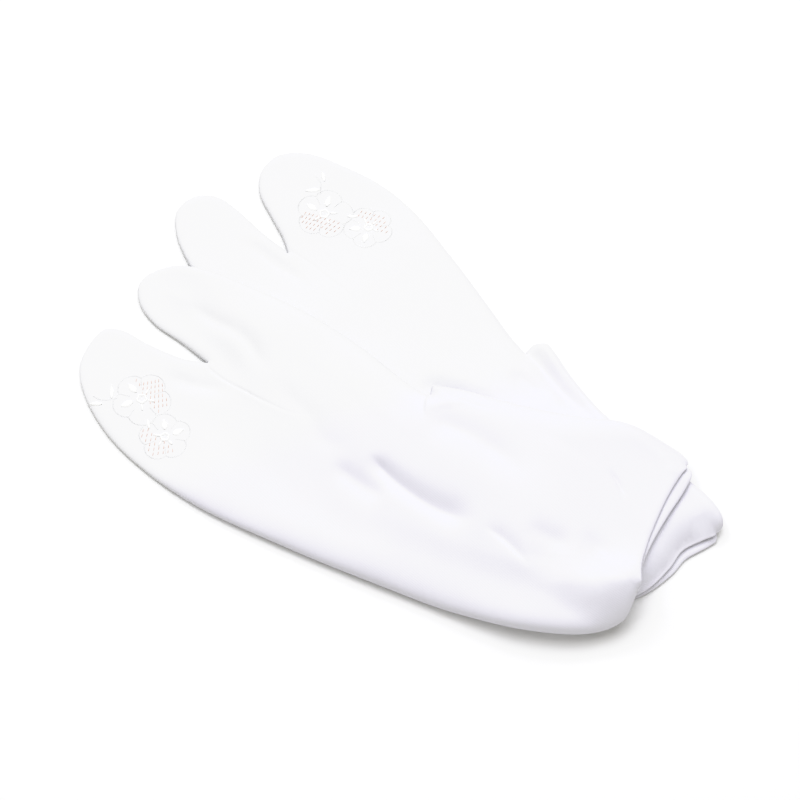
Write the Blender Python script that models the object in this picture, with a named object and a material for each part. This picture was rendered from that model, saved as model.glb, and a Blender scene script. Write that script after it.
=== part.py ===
"""A pair of split-toe tabi socks lying flat, the left sock laid across the right one.

Each sock is one closed wall of stretch cloth: an upper layer and a sole layer that meet in a
rounded fold all round the edge, with a thin hollow between them that is open at the cuff.
The sock is drafted in its own plan: "along" runs from the longest toe to the heel and "across"
runs from the split towards the big toe. The plan is then laid on the floor at its own turn.
Millimetres are used while drafting and metres in the finished mesh.
"""
import math

import bpy
import numpy as np
from mathutils.geometry import delaunay_2d_cdt

MM = 0.001

# Driving sizes, in millimetres
FOOT_LENGTH = 240.0        # longest toe to heel, laid flat
DRAFT_LENGTH = 240.0       # foot length that the tables below are drafted for
SPLIT_DEPTH = 46.0         # longest toe to the end of the toe split
CLOTH = 1.2                # stretch cloth, one wall
LAYER_GAP = 0.8            # clearance between the two socks
SOLE_DRAPE = (4.0, 16.0)   # the left sole sinks from this far in to this far out of the right's edge
UPPER_DRAPE = (12.0, 44.0)  # and the left upper layer from here to here
FREE_EDGE = (5.0, 24.0)    # from its fold, where the upper layer starts and ends lying by itself
THIN_ACROSS = (2.0, 14.0)  # the big toe's side lies flatter from here to here across
THIN_ALONG = (128.0, 112.0)  # and from here to here along
EDGE_STEP = 3.6            # spacing of mesh points along the outer edge
LINING_EDGE_STEP = 5.4     # and along the hollow's edge
TOP_STEP = 5.4             # spacing of mesh points over the upper layer
SOLE_STEP = 9.0            # and over the layers that don't show
ROUND_SHARE = 1.25         # width of the rounded edge, as a share of the sock's thickness
TOP_ROWS = (25.0, 52.0, 90.0)     # angles round the edge where the mesh has rows of points
SOLE_ROWS = (50.0, 90.0)
MOUTH_POINTS = 15

# Thickness of the laid sock: along, thickness
THICKNESS = (
    (0.0, 3.2),
    (46.0, 3.6),
    (84.0, 6.6),
    (122.0, 8.0),
    (150.0, 10.4),
    (260.0, 10.4),
)
# Height of the side fold's outermost line over what it lies on: along, height
FOLD_HEIGHTS = (
    (0.0, 1.5),
    (44.0, 1.6),
    (110.0, 2.9),
    (170.0, 3.6),
    (260.0, 3.6),
)
THIN_FOLD = 0.35           # the fold lies this share flatter on the big toe's side
EDGE_THICKNESS = 7.6       # thickness that the rows round the edge are spaced for
EDGE_FOLD = 3.2            # fold height that the sole's rows are spaced for

# Edge of the left sock, from the cuff's front corner round the toes to its back corner:
# place, along, across, corner (1 where the edge turns sharply)
LEFT_EDGE = (
    ("cuff front corner", 235.3, 33.4, 1),
    ("shin fold", 234.9, 36.8, 0),
    ("shin fold", 231.4, 39.4, 0),
    ("shin fold", 224.0, 40.4, 0),
    ("shin fold", 214.0, 40.3, 0),
    ("shin fold", 204.0, 38.0, 0),
    ("shin fold", 192.0, 34.2, 0),
    ("shin fold", 176.0, 30.2, 0),
    ("shin fold", 156.0, 27.0, 0),
    ("instep step, outer", 143.0, 25.2, 0),
    ("instep step, outer", 133.0, 23.0, 1),
    ("instep step, inner", 134.3, 18.3, 1),
    ("arch", 128.6, 19.0, 0),
    ("arch", 121.0, 21.4, 0),
    ("arch", 112.0, 24.4, 0),
    ("arch", 100.0, 28.2, 0),
    ("arch", 84.0, 32.0, 0),
    ("ball", 54.0, 36.2, 0),
    ("ball", 30.0, 36.8, 0),
    ("big toe", 14.0, 33.6, 0),
    ("big toe", 6.4, 27.4, 0),
    ("big toe tip", 4.8, 20.0, 0),
    ("big toe", 9.6, 12.4, 0),
    ("split, big toe side", 18.6, 7.2, 0),
    ("split, big toe side", 32.0, 4.2, 0),
    ("split end", 46.0, 0.4, 1),
    ("split, four toe side", 37.0, -2.0, 0),
    ("split, four toe side", 22.0, -2.2, 0),
    ("second toe", 8.0, -1.0, 0),
    ("second toe tip", 2.0, -3.4, 0),
    ("toe cap", 0.0, -10.4, 0),
    ("toe cap", 1.0, -22.0, 0),
    ("little toe", 8.4, -32.4, 0),
    ("little toe", 25.2, -44.4, 0),
    ("outer ball", 46.0, -52.2, 0),
    ("outer edge", 72.0, -56.4, 0),
    ("outer edge", 110.0, -57.0, 0),
    ("outer edge", 150.0, -56.2, 0),
    ("outer edge", 182.0, -54.4, 0),
    ("heel", 206.6, -50.8, 0),
    ("heel", 227.4, -43.2, 0),
    ("heel", 237.6, -33.4, 0),
    ("cuff back corner", 238.6, -23.4, 1),
)

# Edge of the right sock, in the same order; its leg is turned to the other side
RIGHT_EDGE = (
    ("cuff front corner", 243.4, -65.4, 1),
    ("shin fold", 243.0, -68.4, 0),
    ("shin fold", 240.0, -70.6, 0),
    ("shin fold", 233.0, -71.2, 0),
    ("shin fold", 224.0, -69.8, 0),
    ("shin fold", 204.0, -64.4, 0),
    ("shin fold", 178.0, -59.2, 0),
    ("instep step, outer", 158.0, -58.8, 0),
    ("instep step, outer", 146.4, -59.8, 0),
    ("instep step, outer", 141.2, -59.4, 0),
    ("instep step, inner", 138.2, -56.0, 0),
    ("instep step, inner", 139.4, -50.8, 1),
    ("outer edge", 132.0, -50.4, 0),
    ("outer edge", 112.0, -51.4, 0),
    ("outer edge", 84.0, -52.6, 0),
    ("outer ball", 60.0, -52.6, 0),
    ("outer ball", 42.0, -49.4, 0),
    ("little toe", 24.0, -41.4, 0),
    ("little toe", 10.0, -32.2, 0),
    ("toe cap", 4.4, -22.0, 0),
    ("second toe tip", 6.8, -12.4, 0),
    ("second toe", 15.0, -5.8, 0),
    ("split, four toe side", 28.0, -3.2, 0),
    ("split, four toe side", 39.0, -1.6, 0),
    ("split end", 46.0, 0.4, 1),
    ("split, big toe side", 33.0, 3.8, 0),
    ("split, big toe side", 17.6, 6.4, 0),
    ("big toe", 7.0, 10.0, 0),
    ("big toe tip", 2.0, 17.4, 0),
    ("big toe", 3.6, 26.6, 0),
    ("big toe", 12.0, 32.6, 0),
    ("ball", 26.0, 36.2, 0),
    ("ball", 48.0, 37.2, 0),
    ("arch", 78.0, 33.2, 0),
    ("arch", 108.0, 24.0, 0),
    ("heel side", 150.0, 14.0, 0),
    ("heel side", 196.0, 1.0, 0),
    ("heel", 226.0, -8.0, 0),
    ("heel", 240.0, -14.0, 0),
    ("cuff back corner", 245.0, -20.0, 1),
)

# Cuff openings, from the back corner to the front corner: along, across
LEFT_MOUTH = ((235.0, -14.6), (233.4, -4.6), (232.8, 6.0), (232.8, 16.0), (233.6, 25.0))
RIGHT_MOUTH = ((246.0, -30.0), (243.8, -42.0), (240.8, -50.4), (241.8, -59.6))

# How each cuff lies: its sole layer sticks out and lifts, and its upper layer dips towards it.
# The lengths and reaches are in millimetres, the full places are shares of the way from the back
# corner to the front one, and ease is the power that the dip ends with (0 for an even bend).
LEFT_CUFF = dict(
    out=4.6,
    out_full=0.75,
    lift=0.6,
    lift_reach=14.0,
    dip=2.6,
    dip_reach=48.0,
    dip_full=0.25,
    ease=0.0,
)
RIGHT_CUFF = dict(
    out=2.4,
    out_full=0.8,
    lift=0.1,
    lift_reach=14.0,
    dip=2.2,
    dip_reach=15.0,
    dip_full=0.1,
    ease=2.0,
)

# A fuller place of each sock's edge, the left heel and the right shin: extra thickness, extra fold
# height, reach from the edge, where it grows along and across, and its rounding's width as a share
LEFT_PUFF = dict(
    height=5.5,
    rise=3.8,
    reach=14.0,
    along=(165.0, 210.0),
    across=(0.0, -18.0),
    round=0.95,
)
RIGHT_PUFF = dict(
    height=0.8,
    rise=1.2,
    reach=7.0,
    along=(137.0, 143.0),
    across=(-44.0, -56.0),
    round=0.6,
)

# Largest folds of the upper layer, troughs below zero and ridges above:
# along and across at both ends, bow sideways, height, half width
LEFT_FOLDS = (
    (24.0, 22.4, 72.0, 3.4, 2.6, -1.5, 4.0),        # big toe down to the split's far end
    (33.0, -12.0, 62.0, -11.0, 1.6, -1.2, 4.0),     # below the split on the four toe side
    (126.0, -16.0, 172.0, -23.0, -2.6, -2.9, 4.2),  # deep crease across the instep
    (112.0, -21.6, 138.0, -27.0, -0.8, -1.7, 4.0),  # short crease beside it
    (137.0, 6.4, 184.0, -0.6, 2.6, -1.9, 5.6),      # trough along the shin fold
    (177.0, -24.4, 199.0, -32.0, 1.0, -1.0, 4.0),   # heel
    (192.0, -22.0, 212.0, -22.0, 1.0, -1.4, 6.0),   # heel
    (210.0, -10.4, 238.0, -20.4, -1.4, -1.5, 4.0),  # heel towards the cuff
)
RIGHT_FOLDS = (
    (28.0, 15.5, 68.0, 2.0, -1.6, -1.4, 4.0),         # big toe down to the split's far end
    (140.0, -51.0, 184.0, -54.0, 0.8, -2.6, 4.0),     # inside the shin fold
    (143.0, -40.0, 164.0, -45.6, 0.4, -1.4, 4.4),     # instep
    (129.0, -7.6, 158.0, -30.0, 0.6, -1.9, 4.0),      # where the left ankle presses
)

# One row for each sock: name, edge, cuff, folds, split end on the floor (x, y), turn in
# degrees, side of the big toe (1 left of the way to the heel, -1 right of it), cloth colour
RIGHT_SOCK = dict(
    name="sock_right",
    edge=RIGHT_EDGE,
    mouth=RIGHT_MOUTH,
    cuff=RIGHT_CUFF,
    puff=RIGHT_PUFF,
    folds=RIGHT_FOLDS,
    split_end=(-42.9, 58.9),
    turn=-55.7,
    big_toe_side=-1,
    color=(0.90, 0.90, 0.91, 1.0),
)
LEFT_SOCK = dict(
    name="sock_left",
    edge=LEFT_EDGE,
    mouth=LEFT_MOUTH,
    cuff=LEFT_CUFF,
    puff=LEFT_PUFF,
    folds=LEFT_FOLDS,
    split_end=(-74.05, 7.3),
    turn=-25.2,
    big_toe_side=1,
    color=(0.93, 0.93, 0.93, 1.0),
)


def clear_scene():
    for item in list(bpy.data.objects):
        bpy.data.objects.remove(item, do_unlink=True)


def curve_point(p0, p1, p2, p3, t):
    """Point on a Catmull-Rom stretch from p1 to p2 whose pace follows the points' distances."""
    knots = [0.0]
    for a, b in ((p0, p1), (p1, p2), (p2, p3)):
        knots.append(knots[-1] + max(math.dist(a, b), 1e-6) ** 0.5)
    k0, k1, k2, k3 = knots
    k = k1 + (k2 - k1) * t
    a1 = p0 * (k1 - k) / (k1 - k0) + p1 * (k - k0) / (k1 - k0)
    a2 = p1 * (k2 - k) / (k2 - k1) + p2 * (k - k1) / (k2 - k1)
    a3 = p2 * (k3 - k) / (k3 - k2) + p3 * (k - k2) / (k3 - k2)
    b1 = a1 * (k2 - k) / (k2 - k0) + a2 * (k - k0) / (k2 - k0)
    b2 = a2 * (k3 - k) / (k3 - k1) + a3 * (k - k1) / (k3 - k1)
    return b1 * (k2 - k) / (k2 - k1) + b2 * (k - k1) / (k2 - k1)


def smooth_stretch(points, fine=0.25):
    """Closely spaced points on one smooth curve through the given ones."""
    first = 2 * points[0] - points[1]
    last = 2 * points[-1] - points[-2]
    row = [first, *points, last]
    line = [points[0]]
    for i in range(1, len(row) - 2):
        steps = max(2, math.ceil(math.dist(row[i], row[i + 1]) / fine))
        for s in range(1, steps + 1):
            line.append(curve_point(row[i - 1], row[i], row[i + 1], row[i + 2], s / steps))
    return np.array(line)


def spaced(line, places):
    """Points of a line at the given shares of its length."""
    steps = np.hypot(*np.diff(line, axis=0).T)
    run = np.concatenate([[0.0], np.cumsum(steps)])
    want = np.asarray(places) * run[-1]
    return np.c_[np.interp(want, run, line[:, 0]), np.interp(want, run, line[:, 1])]


def evenly(line, step):
    length = np.hypot(*np.diff(line, axis=0).T).sum()
    count = max(2, round(length / step))
    return spaced(line, np.linspace(0.0, 1.0, count + 1))


def edge_line(sock, step):
    """The side fold in plan, cut into stretches at its sharp corners."""
    scale = FOOT_LENGTH / DRAFT_LENGTH
    rows = [(np.array(row[1:3]) * scale, row[3]) for row in sock["edge"]]
    stretches = []
    start = 0
    for i in range(1, len(rows)):
        if rows[i][1]:
            stretches.append([row[0] for row in rows[start:i + 1]])
            start = i
    line = [rows[0][0][None, :]]
    for stretch in stretches:
        line.append(evenly(smooth_stretch(stretch), step)[1:])
    return on_floor(sock, np.concatenate(line))


def mouth_line(sock):
    """The cuff's edge in plan, from its back corner to its front corner."""
    scale = FOOT_LENGTH / DRAFT_LENGTH
    ends = [np.array(sock["edge"][i][1:3]) for i in (-1, 0)]
    points = [ends[0], *[np.array(p) for p in sock["mouth"]], ends[1]]
    return on_floor(sock, smooth_stretch([p * scale for p in points]))


def draft_axes(sock):
    """Floor directions of the sock's along and across."""
    angle = math.radians(sock["turn"])
    along = np.array((math.cos(angle), math.sin(angle)))
    return along, np.array((-along[1], along[0])) * sock["big_toe_side"]


def on_floor(sock, points):
    """Floor places of points given along and across the sock."""
    along, across = draft_axes(sock)
    moved = points - np.array((SPLIT_DEPTH * FOOT_LENGTH / DRAFT_LENGTH, 0.0))
    return np.array(sock["split_end"]) + moved[:, :1] * along + moved[:, 1:] * across


def in_draft(sock, points):
    """Along and across places of points on the floor."""
    along, across = draft_axes(sock)
    moved = points - np.array(sock["split_end"])
    scale = DRAFT_LENGTH / FOOT_LENGTH
    return np.c_[moved @ along * scale + SPLIT_DEPTH, moved @ across * scale]


def distance_to(line, points):
    """Distance from each point to the nearest place on a line."""
    a = line[:-1]
    ab = line[1:] - a
    length = (ab ** 2).sum(1)
    rel = points[:, None, :] - a[None, :, :]
    share = np.clip((rel * ab).sum(2) / length, 0.0, 1.0)
    gap = rel - share[:, :, None] * ab
    return np.sqrt((gap ** 2).sum(2)).min(1)


def is_inside(loop, points):
    """True for the points that lie within a closed plan outline."""
    a = loop
    b = np.roll(loop, -1, axis=0)
    x = points[:, :1]
    y = points[:, 1:]
    spans = (a[:, 1] > y) != (b[:, 1] > y)
    rise = np.where(np.abs(b[:, 1] - a[:, 1]) < 1e-9, 1e-9, b[:, 1] - a[:, 1])
    cross = a[:, 0] + (y - a[:, 1]) * (b[:, 0] - a[:, 0]) / rise
    return (spans & (x < cross)).sum(1) % 2 == 1


def smooth_share(value):
    t = np.clip(value, 0.0, 1.0)
    return t * t * (3.0 - 2.0 * t)


def rounded(distance, width):
    """Height share of a round edge: 0 on its line, 1 from its width inwards."""
    t = 1.0 - np.clip(distance / width, 0.0, 1.0)
    return np.sqrt(1.0 - t * t)


def profile_at(rows, places):
    """Value of a profile along the sock at draft places."""
    result = np.full(len(places), rows[0][1])
    for low, high in zip(rows[:-1], rows[1:]):
        result += (high[1] - low[1]) * smooth_share((places[:, 0] - low[0]) / (high[0] - low[0]))
    return result


def near_mouth(line, points):
    """Distance from each point to the cuff's line, and how far along the line that place lies."""
    away = np.hypot(*(points[:, None, :] - line[None, :, :]).transpose(2, 0, 1))
    return away.min(1), away.argmin(1) / (len(line) - 1.0)


def crease_height(sock, places):
    """Sum of the folds' heights at draft places."""
    total = np.zeros(len(places))
    for x0, y0, x1, y1, bow, height, width in sock["folds"]:
        start = np.array((x0, y0))
        way = np.array((x1, y1)) - start
        length = math.hypot(*way)
        way /= length
        side = np.array((-way[1], way[0]))
        run = (places - start) @ way / length
        off = (places - start) @ side - bow * 4.0 * run * (1.0 - run)
        ends = smooth_share((run + 0.12) / 0.35) * smooth_share((1.12 - run) / 0.45)
        total += height * np.exp(-(off / width) ** 2) * ends
    return total


class Form:
    """Heights of one laid sock's four surfaces over its plan."""

    def __init__(self, sock, below=None):
        self.sock = sock
        self.below = below
        self.fold = edge_line(sock, EDGE_STEP)
        self.mouth = mouth_line(sock)
        self.loop = np.concatenate([self.fold, self.mouth[1:-1]])
        cuff = sock["cuff"]
        run = np.linspace(0.0, 1.0, len(self.mouth))
        out = cuff["out"] * smooth_share(run / cuff["out_full"]) * smooth_share((1.0 - run) / 0.18)
        self.low_mouth = self.mouth + out[:, None] * draft_axes(sock)[0]

    def base(self, points, upper):
        """Height of what a layer lies on: the floor, or the sock below it."""
        if self.below is None:
            return np.zeros(len(points))
        loop = self.below.loop
        away = distance_to(np.concatenate([loop, loop[:1]]), points)
        depth = np.where(is_inside(loop, points), away, -away)
        under = self.below.thickness(points) + LAYER_GAP
        low = under * smooth_share((depth + SOLE_DRAPE[1]) / sum(SOLE_DRAPE))
        if not upper:
            return low
        high = under * smooth_share((depth + UPPER_DRAPE[1]) / sum(UPPER_DRAPE))
        free = (distance_to(self.fold, points) - FREE_EDGE[0]) / (FREE_EDGE[1] - FREE_EDGE[0])
        return low + (high - low) * smooth_share(free)

    def cuff_share(self, points, reach, eased):
        """1 on the cuff's edge and 0 at the reach from it, and less towards its back corner."""
        cuff = self.sock["cuff"]
        away, run = near_mouth(self.mouth[::6], points)
        share = np.clip(1.0 - away / reach, 0.0, 1.0)
        share = share ** cuff["ease"] if eased and cuff["ease"] else smooth_share(share)
        return share * smooth_share(run / cuff["dip_full"])

    def puff_share(self, places):
        puff = self.sock["puff"]
        share = smooth_share((places[:, 0] - puff["along"][0]) / (puff["along"][1] - puff["along"][0]))
        return share * smooth_share((places[:, 1] - puff["across"][0]) / (puff["across"][1] - puff["across"][0]))

    def thickness(self, points):
        """Thickness of the laid sock with its fuller place, without folds."""
        puff = self.sock["puff"]
        places = in_draft(self.sock, points)
        near = np.exp(-(distance_to(self.fold, points) / puff["reach"]) ** 2)
        return profile_at(THICKNESS, places) + puff["height"] * self.puff_share(places) * near

    def surface(self, points, upper, inner):
        """Height of one surface; the inner ones lie one cloth inside the outer ones."""
        inset = CLOTH if inner else 0.0
        cuff = self.sock["cuff"]
        puff = self.sock["puff"]
        distance = np.maximum(distance_to(self.fold, points) - inset, 0.0)
        places = in_draft(self.sock, points)
        fuller = self.puff_share(places)
        thin = smooth_share((places[:, 1] - THIN_ACROSS[0]) / (THIN_ACROSS[1] - THIN_ACROSS[0]))
        thin *= smooth_share((places[:, 0] - THIN_ALONG[0]) / (THIN_ALONG[1] - THIN_ALONG[0]))
        full = self.thickness(points) - cuff["dip"] * self.cuff_share(points, cuff["dip_reach"], True)
        fold = profile_at(FOLD_HEIGHTS, places) * (1.0 - THIN_FOLD * thin) + puff["rise"] * fuller
        fold = np.clip(fold, CLOTH + 0.15, 0.48 * full)
        height = self.base(points, upper) + fold
        if not upper:
            height -= (fold - inset) * rounded(distance, fold - inset)
            return height + cuff["lift"] * self.cuff_share(points, cuff["lift_reach"], False) * rounded(distance, 6.0)
        width = full * (ROUND_SHARE + (puff["round"] - ROUND_SHARE) * fuller)
        swell = rounded(distance, width - inset)
        height += (full - fold - inset) * swell
        return height + crease_height(self.sock, places) * swell


def inset_line(form, inset):
    """The side fold's line moved inwards by the given distance, with its ends on the cuff."""
    line = edge_line(form.sock, 1.0)
    way = np.gradient(line, axis=0)
    way /= np.hypot(*way.T)[:, None]
    normals = np.c_[-way[:, 1], way[:, 0]]
    moved = []
    for i, point in enumerate(line):
        fan = [normals[i]]
        if 0 < i < len(line) - 1:
            before = line[i] - line[i - 1]
            after = line[i + 1] - line[i]
            turn = math.atan2(before[0] * after[1] - before[1] * after[0], before @ after)
            if turn < -0.5:
                start = math.atan2(before[0], -before[1])
                fan = []
                for share in np.linspace(0.0, 1.0, 7):
                    angle = start + turn * share
                    fan.append(np.array((math.cos(angle), math.sin(angle))))
        moved.extend(point + inset * normal for normal in fan)
    moved = np.array(moved)
    keep = distance_to(line, moved) > inset * 0.985
    keep &= is_inside(form.loop, moved)
    return moved[keep]


def plan_points(form, rim, inset, width, step, rows):
    """Inner mesh points of one surface: rows along the rounded edge, then an even grid."""
    border = np.concatenate([rim, rim[:1]])
    points = []
    for angle in rows:
        row = width * (1.0 - math.cos(math.radians(angle)))
        spacing = LINING_EDGE_STEP if inset else EDGE_STEP
        line = evenly(inset_line(form, inset + row), spacing)
        clear = is_inside(rim, line)
        clear &= distance_to(border, line) > min(0.5 * row, 0.4 * spacing)
        clear &= distance_to(form.fold, line) > inset + 0.75 * row
        points += list(line[clear])
    low = rim.min(0)
    high = rim.max(0)
    rise = step * math.sqrt(3) / 2
    grid = []
    for j in range(int((high[1] - low[1]) / rise) + 2):
        for i in range(int((high[0] - low[0]) / step) + 2):
            grid.append((low[0] + (i + 0.5 * (j % 2)) * step, low[1] + j * rise))
    grid = np.array(grid)
    keep = is_inside(rim, grid)
    keep &= distance_to(form.fold, grid) > inset + width + 0.45 * step
    keep &= distance_to(border, grid) > 0.5 * step
    return np.array(points + list(grid[keep]))


def mouth_shares():
    steps = np.linspace(0.0, math.pi, MOUTH_POINTS + 2)
    return (1.0 - np.cos(steps)) / 2.0


class Skin:
    """Collects the sock's vertices and faces."""

    def __init__(self):
        self.points = []
        self.faces = []

    def add(self, plan, heights):
        first = len(self.points)
        self.points += [(x, y, z) for (x, y), z in zip(plan, heights)]
        return list(range(first, len(self.points)))

    def sheet(self, form, rim_ids, inset, upper):
        """Fills a closed rim with triangles that follow one of the form's surfaces."""
        rim = np.array([self.points[i][:2] for i in rim_ids])
        width = (EDGE_THICKNESS * ROUND_SHARE if upper else EDGE_FOLD) - inset
        step = TOP_STEP if upper and not inset else SOLE_STEP
        rows = TOP_ROWS if upper else SOLE_ROWS
        plan = plan_points(form, rim, inset, width, step, rows)
        ids = rim_ids + self.add(plan, form.surface(plan, upper, inset > 0.0))
        flat = [tuple(p) for p in np.concatenate([rim, plan])]
        count = len(rim_ids)
        edges = [(i, (i + 1) % count) for i in range(count)]
        result = delaunay_2d_cdt(flat, edges, [], 1, 1e-7)
        origin = [names[0] for names in result[3]]
        outward = upper != (inset > 0.0)
        for face in result[2]:
            row = [ids[origin[i]] for i in face]
            self.faces.append(row if outward else row[::-1])


def add_shell(skin, form, inset):
    """Adds the outer skin, or the inner one when inset is the cloth's thickness."""
    inner = inset > 0.0
    if inner:
        line = evenly(inset_line(form, inset), LINING_EDGE_STEP)
    else:
        line = form.fold
    run = np.hypot(*np.diff(form.mouth, axis=0).T).sum()
    trim = inset / run
    shares = trim + (1.0 - 2.0 * trim) * mouth_shares()
    mouth = spaced(form.mouth, shares)
    if inner:
        line = np.concatenate([mouth[-1:], line[1:-1], mouth[:1]])
    fold_ids = skin.add(line, form.surface(line, True, inner))
    cuff = mouth[1:-1]
    low_cuff = spaced(form.low_mouth, shares)[1:-1]
    top_ids = skin.add(cuff, form.surface(cuff, True, inner))
    low_ids = skin.add(low_cuff, form.surface(low_cuff, False, inner))
    skin.sheet(form, fold_ids + top_ids, inset, True)
    skin.sheet(form, fold_ids + low_ids, inset, False)
    back, front = fold_ids[-1:], fold_ids[:1]
    return back + top_ids + front, back + low_ids + front


def add_rim(skin, outer, inner, flip):
    """Closes one cuff layer between its outer and inner edge."""
    for i in range(len(outer) - 1):
        row = [outer[i], outer[i + 1], inner[i + 1], inner[i]]
        skin.faces.append(row[::-1] if flip else row)


def cloth_material(sock):
    material = bpy.data.materials.new(sock["name"] + "_cloth")
    material.use_nodes = True
    shader = material.node_tree.nodes["Principled BSDF"]
    shader.inputs["Base Color"].default_value = sock["color"]
    shader.inputs["Roughness"].default_value = 0.9
    shader.inputs["Metallic"].default_value = 0.0
    material.diffuse_color = sock["color"]
    return material


def build_sock(form, shift):
    sock = form.sock
    skin = Skin()
    outer_top, outer_low = add_shell(skin, form, 0.0)
    inner_top, inner_low = add_shell(skin, form, CLOTH)
    add_rim(skin, outer_top, inner_top, True)
    add_rim(skin, outer_low, inner_low, False)
    points = [((x - shift[0]) * MM, (y - shift[1]) * MM, z * MM) for x, y, z in skin.points]
    mesh = bpy.data.meshes.new(sock["name"])
    mesh.from_pydata(points, [], skin.faces)
    mesh.validate()
    mesh.shade_smooth()
    mesh.set_sharp_from_angle(angle=math.radians(50.0))
    item = bpy.data.objects.new(sock["name"], mesh)
    bpy.context.scene.collection.objects.link(item)
    mesh.materials.append(cloth_material(sock))
    return item


def build_pair():
    clear_scene()
    right = Form(RIGHT_SOCK)
    left = Form(LEFT_SOCK, below=right)
    plan = np.concatenate([right.loop, left.loop])
    shift = (plan.min(0) + plan.max(0)) / 2.0
    build_sock(right, shift)
    build_sock(left, shift)


build_pair()
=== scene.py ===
import math

import bpy
import numpy as np
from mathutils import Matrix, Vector
from mathutils.geometry import delaunay_2d_cdt


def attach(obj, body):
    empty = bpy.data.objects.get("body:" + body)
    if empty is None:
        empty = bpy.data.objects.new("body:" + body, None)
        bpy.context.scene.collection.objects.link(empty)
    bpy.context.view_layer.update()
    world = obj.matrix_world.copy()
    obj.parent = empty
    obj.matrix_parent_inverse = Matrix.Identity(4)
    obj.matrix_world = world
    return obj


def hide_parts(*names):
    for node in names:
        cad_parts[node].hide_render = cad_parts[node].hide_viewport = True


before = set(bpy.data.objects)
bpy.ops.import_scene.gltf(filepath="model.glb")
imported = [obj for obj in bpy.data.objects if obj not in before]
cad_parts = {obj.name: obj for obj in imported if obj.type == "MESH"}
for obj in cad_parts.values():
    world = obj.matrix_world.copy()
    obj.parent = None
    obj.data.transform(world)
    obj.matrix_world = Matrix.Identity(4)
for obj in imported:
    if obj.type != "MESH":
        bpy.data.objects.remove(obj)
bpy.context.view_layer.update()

mm = 0.001

# Camera, looking down at the pair with the toes at the upper left
cameraSetup = dict(
    lens=108.0,
    sensor=36.0,
    tilt=62.0,  # degrees below level
    place=(0.0018, -0.4488, 0.8315),
    clip=(0.02, 20.0),
)


def addCamera(setup):
    data = bpy.data.cameras.new("tableCamera")
    data.lens = setup["lens"]
    data.sensor_width = setup["sensor"]
    data.clip_start, data.clip_end = setup["clip"]
    item = bpy.data.objects.new("tableCamera", data)
    bpy.context.scene.collection.objects.link(item)
    item.location = setup["place"]
    item.rotation_euler = (math.radians(90.0 - setup["tilt"]), 0.0, 0.0)
    bpy.context.scene.camera = item


addCamera(cameraSetup)
print("camera placed")

# How both socks are cut and laid, in millimetres on a sock 240 mm long.
# "along" runs from the longest toe to the heel, "across" from the split towards the big toe.
layOut = dict(
    splitDepth=46.0,
    cloth=1.0,  # one layer of cloth
    hemWidth=8.0,  # the cuff's edge is turned in this far
    hemExtra=0.7,  # and is this much thicker
    hemStep=2.5,  # which fades over this width
    # by place along: the whole sock's height, and the height of the side fold's outermost line
    thickness=((0.0, 2.4), (46.0, 2.9), (84.0, 6.5), (122.0, 8.0), (150.0, 10.4), (260.0, 10.4)),
    foldHeight=((0.0, 1.1), (44.0, 1.2), (110.0, 2.9), (170.0, 3.6), (260.0, 3.6)),
    foldLeast=0.1,  # the fold lies at least this much above one layer of cloth
    foldShare=0.48,  # and at most at this share of the thickness
    fullerFoldShare=0.1,  # plus this where the sock is fuller
    thinFold=dict(across=(2.0, 14.0), along=(128.0, 112.0), share=0.35),  # the big toe's side lies flatter
    roundShare=1.25,  # width of the edge's round, by thickness
    layerGap=0.6,  # between the two socks
    underDrape=(4.0, 16.0),  # how far in and out from the lower sock's edge the upper one steps down
    topDrape=(12.0, 44.0),  # the same for its top layer
    freeEdge=(5.0, 24.0),  # between these distances from its fold the top layer drapes by itself
    liftWidth=6.0,  # the cuff's lower layer lifts within this distance of the side fold
    creaseShape=1.7,  # higher gives flatter bottoms and steeper sides
    creaseReach=2.4,  # a crease ends after this many half widths
)

# Fineness of the cloth's mesh
meshSteps = dict(
    edge=1.2,
    lining=2.8,
    top=1.35,
    sole=4.0,
    inside=3.6,
    mouth=64,
    line=1.0,  # creases and seams are read at this spacing
    skip=dict(below=3, hem=4, lip=6),  # a line read for its distance alone uses one point in so many
    # rows of points beside the side fold: how wide they lie, and where, in degrees round the fold
    topWidth=9.0,
    soleWidth=3.2,
    topRows=(9.0, 18.0, 28.0, 38.0, 48.0, 58.0, 68.0, 79.0, 90.0),
    soleRows=(20.0, 42.0, 66.0, 90.0),
    liningRows=(30.0, 60.0, 90.0),
)

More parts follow.
